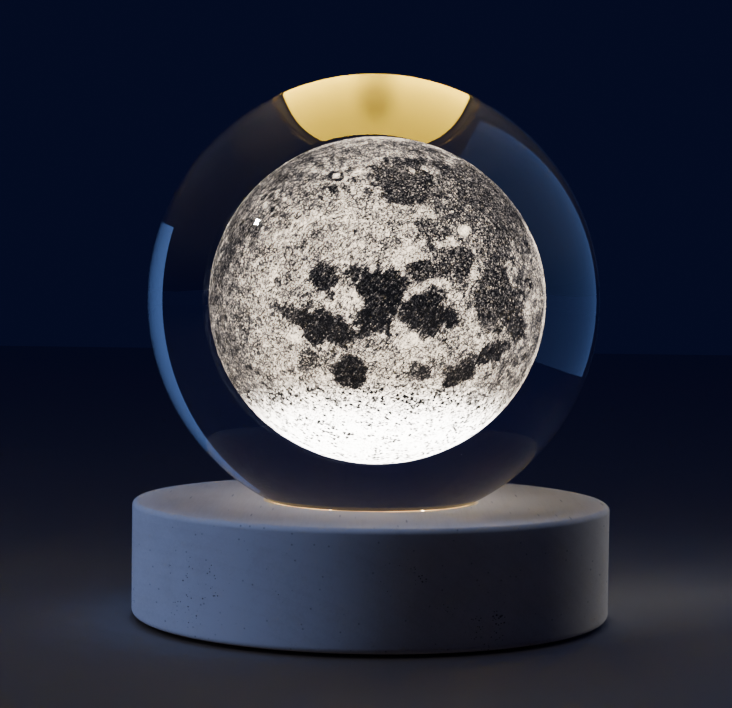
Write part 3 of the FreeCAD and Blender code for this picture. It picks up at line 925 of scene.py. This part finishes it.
def crystal_ball(mottle):
    """Polished ball: circle of radius R about its centre, turned about Z, cut flat at the
    foot with a small bevel. The ground foot is frosted: a thin shallow dome of white
    scratches just inside the flat and the bevel, with a painted glow that stands in for the
    lamp's light passing through it."""
    low = math.asin(FOOT_BEVEL_RADIUS / BALL_RADIUS)
    t = np.linspace(low, np.pi, BALL_ROWS)
    sphere = np.stack([BALL_RADIUS * np.sin(t), BALL_CENTRE_Z - BALL_RADIUS * np.cos(t)], -1)
    sphere[-1, 0] = 0.0
    flat = straight((0, FOOT_Z), (FOOT_FLAT_RADIUS, FOOT_Z), 12)
    outline = joined(flat, (FOOT_BEVEL_RADIUS, FOOT_BEVEL_Z), sphere)
    ball = turned_piece("polished_ball", outline, BALL_COLUMNS, crease_deg=15)
    give(ball, crystal_material(), "ball")
    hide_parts("crystal_ball")

    rise = (FOOT_BEVEL_Z - FOOT_Z) / (FOOT_BEVEL_RADIUS - FOOT_FLAT_RADIUS)
    rim = FOOT_BEVEL_RADIUS - 0.12
    rim_z = FROST_BOTTOM + (rim - FOOT_FLAT_RADIUS) * rise
    flat_end = FOOT_FLAT_RADIUS - 0.05
    frost = turned_piece("frosted_foot", joined(
        straight((0, FROST_BOTTOM), (flat_end, FROST_BOTTOM), 10),
        (rim, rim_z), (rim, rim_z + 0.04),
        straight((flat_end, FROST_TOP), (0, FROST_MIDDLE), 10)), FROST_COLUMNS, crease_deg=40)
    # painted light: the frosted foot glows, brightest where mirrored in the ball; past the glow
    # radius its colour is nearly black, a painted shade
    give(frost, glow_material("frosted_glow", FOOT_GLOW_COLOUR, 20.0, mottle, shade_depth=0.56,
                              glow_radius=GLOW_RADIUS, rim_light=0.002, straight=0.22,
                              lit_above=FROST_LIT_ABOVE), "ball")


GLINT_Z = 20.76
GLINT_RADIUS = 0.07
GLINT_COLUMNS = 360
GLINT_SIDES = 8
GLINT_HUE = (1.0, 0.56, 0.20, 1)
SPARK_HUE = (1.0, 0.90, 0.72, 1)
SPARK_STRENGTH = 90.0


def glint_material():
    """Painted glint at the ball's edge: a warm glowing line with white-hot sparks, fading
    towards the left and right ends."""
    material, shader, w = new_material("edge_glint")
    place = w.object_place()
    drift = w.noise(w.scaled(place, (130, 130, 0)), detail=2.0)
    spark = w.noise(w.scaled(place, (520, 520, 0), move=(3.1, 0.7, 0)), detail=1.0)
    spark = w.times(w.ramp(spark, 0.66, 0.78), w.ramp(drift, 0.42, 0.60))
    strength = w.plus(w.ramp(drift, 0.30, 0.70, 0.6, 3.6), w.times(spark, SPARK_STRENGTH))
    sideways = w.math("ABSOLUTE", w.put("SeparateXYZ", "X", place))
    strength = w.times(strength, w.ramp(sideways, 16.2 * MM, 17.8 * MM, 1.0, 0.12))
    w.join(w.dimmed(w.mix(spark, GLINT_HUE, SPARK_HUE), strength),
           shader.inputs["Emission Color"])
    set_values(shader, Base_Color=(0.3, 0.25, 0.2, 1), Roughness=0.4, Emission_Strength=1.0)
    return material


def edge_glint():
    """Painted glint: a thin glowing line where the ball meets its seat, a circle of radius r
    swept about Z on the ball's surface, (R + r cos a) outward and r sin a upward."""
    reach = math.sqrt(BALL_RADIUS ** 2 - (BALL_CENTRE_Z - GLINT_Z) ** 2) + GLINT_RADIUS / 2
    outline = arc_outline(reach, GLINT_Z, GLINT_RADIUS, 0, 360, GLINT_SIDES)[:-1]
    glint = turned_piece("edge_glint", outline, GLINT_COLUMNS, closed_outline=True)
    give(glint, glint_material(), "ball")


# --- the wooden body ---

WOOD_COLUMNS = 512
WOOD_CREASE_DEG = 22
BAR_STEPS = 24


def bar_along_y(name, x, z, width, height, y_from, y_to):
    """Round-ended bar along Y: a half circle at each end of the section, carried
    straight along Y, closed at both ends."""
    radius = height / 2
    reach = width / 2 - radius
    right = arc_outline(x + reach, z, radius, -90, 90, BAR_STEPS)
    left = arc_outline(x - reach, z, radius, 90, 270, BAR_STEPS)
    loop = joined(right, left)
    if reach < 1e-9:
        loop = loop[:-1]
    count = len(loop)
    near = np.stack([loop[:, 0], np.full(count, y_from), loop[:, 1]], -1)
    far = np.stack([loop[:, 0], np.full(count, y_to), loop[:, 1]], -1)
    ring = np.arange(count)
    after = (ring + 1) % count
    sides = np.stack([ring, ring + count, after + count, after], -1).tolist()
    ends = [ring.tolist(), (ring[::-1] + count).tolist()]
    return make_piece(name, np.concatenate([near, far]), sides + ends)


def box_piece(name, low, high):
    """Plain block used to hollow the wood."""
    (x0, y0, z0), (x1, y1, z1) = low, high
    points = [(x, y, z) for z in (z0, z1) for x, y in ((x0, y0), (x1, y0), (x1, y1), (x0, y1))]
    faces = [(0, 3, 2, 1), (4, 5, 6, 7), (0, 1, 5, 4), (1, 2, 6, 5), (2, 3, 7, 6), (3, 0, 4, 7)]
    return make_piece(name, points, faces)


def cut_away(piece, cutters):
    """Takes the cutters out of the piece and removes them."""
    for cutter in cutters:
        step = piece.modifiers.new("cut", "BOOLEAN")
        step.operation = "DIFFERENCE"
        step.solver = "EXACT"
        step.object = cutter
    bpy.context.view_layer.update()
    evaluated = piece.evaluated_get(bpy.context.evaluated_depsgraph_get())
    mesh = bpy.data.meshes.new_from_object(evaluated)
    piece.modifiers.clear()
    piece.data = mesh
    for cutter in cutters:
        bpy.data.objects.remove(cutter)


def turned_wood(grain):
    """Turned wooden disc with a seat and light well, hollowed from below, with the port and
    button openings at the back."""
    shoulder = WOOD_RADIUS - WOOD_ROUNDOVER
    outline = joined(
        (COVER_RECESS_RADIUS, WOOD_BOTTOM),
        straight((COVER_RECESS_RADIUS, WOOD_BOTTOM), (shoulder, WOOD_BOTTOM), 2),
        arc_outline(shoulder, WOOD_BOTTOM + WOOD_ROUNDOVER, WOOD_ROUNDOVER, -90, 0, 10),
        straight((WOOD_RADIUS, WOOD_BOTTOM + WOOD_ROUNDOVER),
                 (WOOD_RADIUS, WOOD_TOP - WOOD_ROUNDOVER), 8),
        arc_outline(shoulder, WOOD_TOP - WOOD_ROUNDOVER, WOOD_ROUNDOVER, 0, 90, 10),
        straight((shoulder, WOOD_TOP), (SEAT_RADIUS + SEAT_CHAMFER, WOOD_TOP), 8),
        arc_outline(SEAT_RADIUS + SEAT_CHAMFER, WOOD_TOP - SEAT_CHAMFER, SEAT_CHAMFER, 90, 180, 5),
        (SEAT_RADIUS, SEAT_FLOOR), (WELL_RADIUS, SEAT_FLOOR), (WELL_RADIUS, CEILING),
        (CAVITY_RADIUS, CEILING), (CAVITY_RADIUS, COVER_TOP), (COVER_RECESS_RADIUS, COVER_TOP))
    wood = turned_piece("turned_wood", outline, WOOD_COLUMNS, closed_outline=True)
    openings = [
        ("port_tool", PORT_X, PORT_Z, PORT_HOLE_WIDTH, PORT_HOLE_HEIGHT, WALL_INSIDE),
        ("plug_tool", PORT_X, PORT_Z, PLUG_RECESS_WIDTH, PLUG_RECESS_HEIGHT, RECESS_FLOOR),
        ("button_tool", BUTTON_X, BUTTON_Z, BUTTON_HOLE_WIDTH, BUTTON_HOLE_WIDTH, WALL_INSIDE),
        ("button_recess_tool", BUTTON_X, BUTTON_Z, BUTTON_RECESS_WIDTH, BUTTON_RECESS_WIDTH,
         RECESS_FLOOR)]
    pocket = box_piece("pocket_tool", (-POCKET_HALF_WIDTH, POCKET_FRONT, COVER_TOP),
                       (POCKET_HALF_WIDTH, POCKET_BACK, CEILING - 0.01))
    cut_away(wood, [pocket] + [bar_along_y(*opening, WOOD_RADIUS + 2.0) for opening in openings])
    wood.data.shade_smooth()
    wood.data.set_sharp_from_angle(angle=math.radians(WOOD_CREASE_DEG))
    give(wood, wood_material(grain), "base")
    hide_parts("wooden_body")


# --- small pieces ---

SMALL_COLUMNS = 96
ZINC = (0.62, 0.62, 0.60)


def along_y(points):
    """Turns a piece made about Z so that its axis runs along Y: (x, y, z) -> (x, z, -y)."""
    return np.stack([points[:, 0], points[:, 2], -points[:, 1]], -1)


def button_piece(mottle):
    """Push button, turned about its own axis: a domed cap with a rounded rim, a stem and
    the flange that keeps it in its hole."""
    sphere = (BUTTON_RADIUS ** 2 + BUTTON_DOME ** 2) / (2 * BUTTON_DOME)
    rim = 0.3
    top = BUTTON_FACE + BUTTON_DOME
    spread = math.degrees(math.asin((BUTTON_RADIUS - rim) / sphere))
    dome = arc_outline(0, top - sphere, sphere, 90 - spread, 90, 12)
    edge = arc_outline(BUTTON_RADIUS - rim, dome[0, 1] - rim, rim, 0, 90 - spread / 2, 6)
    outline = joined(
        (0, BUTTON_FLANGE_BACK), (BUTTON_FLANGE_RADIUS, BUTTON_FLANGE_BACK),
        (BUTTON_FLANGE_RADIUS, BUTTON_FLANGE_FRONT), (BUTTON_RADIUS, BUTTON_FLANGE_FRONT),
        edge, dome)
    outline[-1, 0] = 0.0
    points, index = turned_points(*outline.T, SMALL_COLUMNS)
    points = along_y(points) + np.array([BUTTON_X, 0, BUTTON_Z])
    button = make_piece("push_button", points, grid_faces(index, True), 28)
    give(button, moulded_material("button_plastic", mottle, (0.80, 0.78, 0.73), 0.3,
                                  variation=0.05, speckle=1500.0), "button")
    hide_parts("button_cap")


CROSS_DEPTH = 0.8
CROSS_HALF_WIDTH = 0.32
CROSS_REACH = 1.35
HEAD_RINGS = 26
SHANK_RINGS = 60
THREAD_PITCH = 0.9
THREAD_DEPTH = 0.16
THREAD_CORE = 0.88


def screw_points():
    """Countersunk screw, pointing up, head face at height 0: a disc with a cross sunk into
    it, 0.8 mm deep where the distance to the nearer arm's middle line is under the arm's
    half width, then the cone and the shank with a fine thread,
    r = 0.88 r0 + 0.16 sin(turn - 2 pi z / pitch)."""
    rings = np.linspace(0, SCREW_HEAD_RADIUS, HEAD_RINGS)
    points, index = turned_points(rings, np.zeros(HEAD_RINGS), SMALL_COLUMNS)
    x, y = np.abs(points[:, 0]), np.abs(points[:, 1])
    nearer = np.minimum(x, y)
    reach = np.maximum(x, y)
    cross = ((1 - smooth_step(CROSS_HALF_WIDTH - 0.07, CROSS_HALF_WIDTH + 0.07, nearer))
             * (1 - smooth_step(CROSS_REACH - 0.1, CROSS_REACH + 0.1, reach)))
    points[:, 2] = CROSS_DEPTH * cross
    heights = np.linspace(SCREW_HEAD_HEIGHT, SCREW_LENGTH - 0.6, SHANK_RINGS)
    side, side_index = turned_points(np.full(SHANK_RINGS, SCREW_SHANK_RADIUS), heights,
                                     SMALL_COLUMNS)
    turn = np.arctan2(side[:, 1], side[:, 0])
    thread = THREAD_DEPTH * np.sin(turn - 2 * np.pi * side[:, 2] / THREAD_PITCH)
    side[:, :2] *= (THREAD_CORE + thread / SCREW_SHANK_RADIUS)[:, None]
    tip = np.array([[0, 0, SCREW_LENGTH]])
    tip_index = np.full((1, SMALL_COLUMNS), len(points) + len(side))
    rows = np.concatenate([index, side_index + len(points), tip_index])
    return np.concatenate([points, side, tip]), rows


def cover_screws(drawn):
    """Three countersunk screws with cross recesses, flush in the bottom cover."""
    single, rows = screw_points()
    x, y, z = single.T
    copies = []
    for k in range(SCREW_COUNT):
        spin = 0.7 + 1.9 * k
        turned = np.stack([x * math.cos(spin) - y * math.sin(spin),
                           x * math.sin(spin) + y * math.cos(spin), z], -1)
        degrees = SCREW_FIRST_ANGLE + 360 / SCREW_COUNT * k
        copies.append(turned + round_place(SCREW_CIRCLE_RADIUS, degrees, WOOD_BOTTOM))
    screws = grid_copies("cover_screws_cross", copies, rows, 35)
    give(screws, metal_material("zinc_screw", drawn, ZINC, 0.3), "base")
    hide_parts("cover_screws")


def rubber_feet(mottle):
    """Four soft pads, turned about their own axes, with rounded lower rims and a shallow
    dish in the standing face."""
    rim = 0.35
    dish = PAD_RADIUS - 1.2
    outline = joined(
        (0, 0.12), straight((1.0, 0.12), (PAD_RADIUS - 1.6, 0.10), 3),
        arc_outline(dish, 0.1, 0.1, 225, 270, 3),
        straight((dish, 0), (PAD_RADIUS - rim, 0), 2),
        arc_outline(PAD_RADIUS - rim, rim, rim, -90, 0, 8),
        (PAD_RADIUS, PAD_THICKNESS), (0, PAD_THICKNESS))
    single, rows = turned_points(*outline.T, SMALL_COLUMNS)
    copies = []
    for k in range(PAD_COUNT):
        degrees = PAD_FIRST_ANGLE + 360 / PAD_COUNT * k
        copies.append(single + round_place(PAD_CIRCLE_RADIUS, degrees, 0))
    feet = grid_copies("rubber_pads", copies, rows, 35)
    give(feet, moulded_material("pad_rubber", mottle, (0.030, 0.030, 0.032), 0.75,
                                variation=0.2, speckle=1800.0, bump_depth=0.06), "base")
    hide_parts("rubber_feet")


# Solids shown as they are: the material's name, colour and roughness and, where they
# differ from the usual, the colour's variation, the speckle and the depth of the bumps.
MOULDED_SOLIDS = {
    "reflector_cup": ("white_cup", (0.82, 0.82, 0.80), 0.35, 0.05),
    "led_board": ("white_mask", (0.80, 0.80, 0.77), 0.4, 0.06),
    "control_board": ("green_mask", (0.02, 0.14, 0.05), 0.35, 0.2),
    "usb_tongue": ("port_plastic", (0.018, 0.018, 0.020), 0.45),
    "switch_body": ("switch_plastic", (0.02, 0.02, 0.022), 0.45),
    "driver_chip": ("chip_resin", (0.022, 0.022, 0.024), 0.55),
    "resistors": ("resistor_glaze", (0.025, 0.025, 0.03), 0.3),
    "ribbon_lead": ("ribbon_vinyl", (0.55, 0.55, 0.52), 0.5),
    "bottom_cover": ("cover_plastic", (0.030, 0.030, 0.032), 0.55, 0.25, 1700.0, 0.05),
    "switch_plunger": ("plunger_plastic", (0.05, 0.05, 0.05), 0.4),
}
METAL_SOLIDS = {
    "cup_screws": ("cup_screw_zinc", ZINC, 0.3),
    "control_screws": ("board_screw_zinc", ZINC, 0.3),
    "usb_shell": ("port_steel", (0.66, 0.66, 0.67), 0.22),
    "capacitor": ("can_aluminium", (0.75, 0.75, 0.76), 0.3),
}


def finish_solids(mottle, drawn):
    """Finishes for the solids that are shown as they are."""
    finishes = {
        "diffuser_disc": glow_material("milky_diffuser", DIFFUSER_COLOUR, 5.0, mottle,
                                       shade_depth=0.3, rim_light=0.08),
        "led_chips": glow_material("chip_phosphor", DIFFUSER_COLOUR, 4.0, mottle),
    }
    for node, (name, *values) in MOULDED_SOLIDS.items():
        finishes[node] = moulded_material(name, mottle, *values)
    for node, (name, *values) in METAL_SOLIDS.items():
        finishes[node] = metal_material(name, drawn, *values)
    for node, material in finishes.items():
        for slot in frame["nodes"][node].material_slots:
            slot.material = material


# --- studio ---

FLOOR_REACH = 1400.0


def studio_floor(mottle):
    """Plain pale floor: one wide sheet, z = 0."""
    steps = np.linspace(-FLOOR_REACH, FLOOR_REACH, 9)
    across, along = np.meshgrid(steps, steps)
    points = np.stack([across.ravel(), along.ravel(), np.zeros(across.size)], -1)
    index = np.arange(across.size).reshape(across.shape)
    floor = make_piece("studio_floor", points, grid_faces(index, False))
    floor.data.materials.append(moulded_material("pale_floor", mottle, (0.62, 0.62, 0.62), 0.7,
                                                 0.02, 900.0, 0.02))


def soft_light(name, place_mm, aim_mm, width_mm, height_mm, colour, power):
    """Rectangular soft light aimed at a point and hidden from the camera."""
    light = bpy.data.lights.new(name, "AREA")
    light.shape = "RECTANGLE"
    light.size = width_mm * MM
    light.size_y = height_mm * MM
    light.color = colour
    light.energy = power
    holder = bpy.data.objects.new(name, light)
    place = Vector(place_mm)
    holder.location = place * MM
    holder.rotation_euler = (Vector(aim_mm) - place).to_track_quat("-Z", "Y").to_euler()
    holder.visible_camera = False
    holder.visible_transmission = False
    bpy.context.scene.collection.objects.link(holder)
    return holder


def fill_light(*values, on_floor=False):
    """Soft light without a mirror image, on the lamp's pieces alone or the floor alone."""
    holder = soft_light(*values)
    holder.visible_glossy = False
    reached = bpy.data.collections.new(holder.name + "_reach")
    for piece in bpy.data.objects:
        if piece.type == "MESH" and (piece.name == "studio_floor") == on_floor:
            reached.objects.link(piece)
    holder.light_linking.receiver_collection = reached


def mirror_light(*values, seen_through=False):
    """Soft light that only shows as a mirror image, or through the crystal too."""
    holder = soft_light(*values)
    holder.visible_diffuse = False
    holder.visible_transmission = seen_through


def studio_lights():
    """Dim blue surroundings, a cool soft key from the left front, a blue panel whose image
    bends round the ball's left edge, a small light for the spark on the ball, and faint
    fills for the top, the back and the floor in front."""
    world = bpy.data.worlds.new("studio_dusk")
    world.use_nodes = True
    sky = world.node_tree.nodes["Background"]
    sky.inputs["Color"].default_value = (0.0035, 0.0045, 0.022, 1)
    sky.inputs["Strength"].default_value = 1.0
    bpy.context.scene.world = world
    fill_light("left_key", (-825, -100, 320), (0, 0, 10), 300, 300, (0.27, 0.42, 1.0), 4.5)
    fill_light("top_fill", (0, -40, 700), (0, 0, 20), 200, 200, (0.42, 0.56, 1.0), 1.5)
    fill_light("floor_light", (0, -420, 300), (0, -200, 0), 260, 160, (1.0, 0.90, 0.85), 0.055,
               on_floor=True)
    mirror_light("blue_panel", (101, 43, 125), (0, 43, 125), 138, 210, (0.19, 0.38, 1.0), 0.036,
                 seen_through=True)
    mirror_light("spark", (-465, -190, 362), (0, 0, 56), 26, 26, (1.0, 1.0, 1.0), 1.0)
    fill_light("rear_fill", (280, 310, 70), (0, 0, 25), 220, 120, (0.80, 0.87, 1.0), 0.95)


# --- putting it together ---

place_camera()
mottle = fine_mottle_group()
drawn = brushed_metal_group()
grain = wood_grain_group()
engraved_moon()
crystal_ball(mottle)
edge_glint()
turned_wood(grain)
button_piece(mottle)
cover_screws(drawn)
rubber_feet(mottle)
finish_solids(mottle, drawn)
studio_floor(mottle)
studio_lights()
